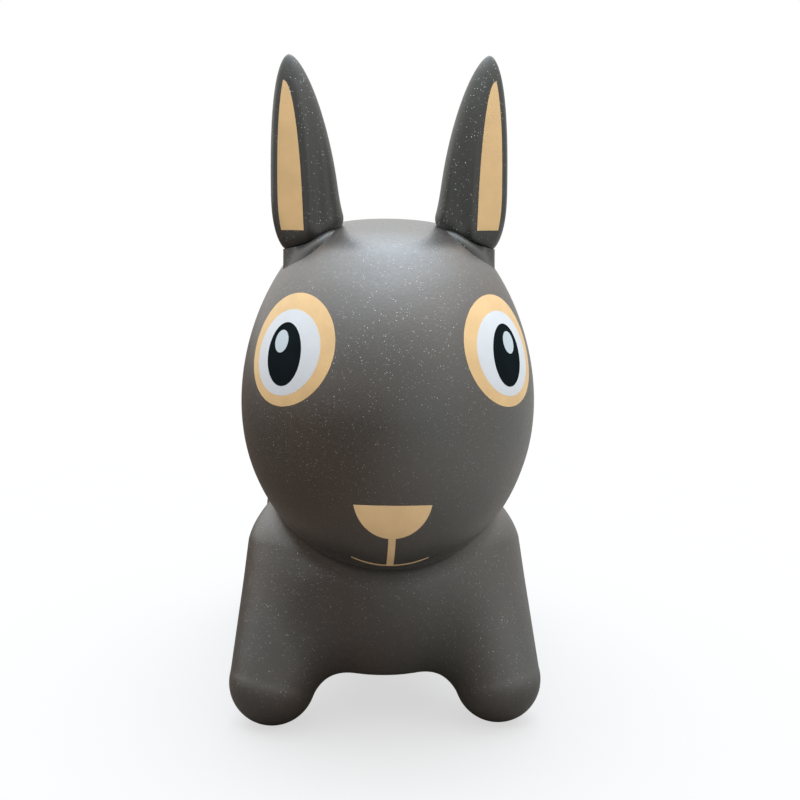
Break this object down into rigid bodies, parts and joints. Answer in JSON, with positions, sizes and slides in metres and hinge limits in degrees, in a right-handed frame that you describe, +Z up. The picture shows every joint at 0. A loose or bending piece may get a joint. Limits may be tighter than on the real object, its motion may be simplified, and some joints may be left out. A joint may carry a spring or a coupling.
{
  "type": "inflatable hopping animal",
  "caption": "Inflatable ride-on rabbit: hollow moulded body on splayed legs, upright bending ears held as grips, printed face and a belly air valve with a pull-out plug.",
  "frame": {"origin": "on the floor under the middle of the toy's bounding box", "axes": "+Z up, the rabbit faces -Y, +X is the rabbit's left"},
  "size_m": [0.2881, 0.566, 0.6028],
  "materials": {
    "skin": "satin charcoal soft vinyl with fine glitter",
    "valve_seat": "satin charcoal soft vinyl",
    "valve_plug": "smooth white plastic",
    "tan_print": "satin sprayed ink film",
    "white_print": "satin sprayed ink film",
    "black_print": "satin sprayed ink film",
    "pale_print": "satin sprayed ink film"
  },
  "bodies": {
    "skin": {"body_skin": "skin", "ear_root_left": "skin", "ear_root_right": "skin", "valve_insert": "valve_seat", "eye_ring_left": "tan_print", "eye_ring_right": "tan_print", "eye_white_left": "white_print", "eye_white_right": "white_print", "pupil_left": "black_print", "pupil_right": "black_print", "eye_glint_left": "pale_print", "eye_glint_right": "pale_print", "nose_print": "tan_print", "lip_line_print": "tan_print", "mouth_print": "tan_print"},
    "left_ear": {"ear_left": "skin", "ear_print_left": "tan_print"},
    "right_ear": {"ear_right": "skin", "ear_print_right": "tan_print"},
    "plug": {"valve_plug": "valve_plug"}
  },
  "joints": [
    {"name": "left_ear_bend", "type": "hinge", "parent": "skin", "child": "left_ear", "pos_m": [0.07108, -0.1371, 0.45426], "axis": [1, 0, 0], "range_deg": [-25, 25], "stiffness_Nm_per_rad": 3, "deforming": ["ear_root_left"]},
    {"name": "right_ear_bend", "type": "hinge", "parent": "skin", "child": "right_ear", "pos_m": [-0.07108, -0.1371, 0.45426], "axis": [1, 0, 0], "range_deg": [-25, 25], "stiffness_Nm_per_rad": 3, "deforming": ["ear_root_right"]},
    {"name": "plug_pull", "type": "slide", "parent": "skin", "child": "plug", "axis": [0, 0, -1], "range_m": [0, 0.018]}
  ]
}
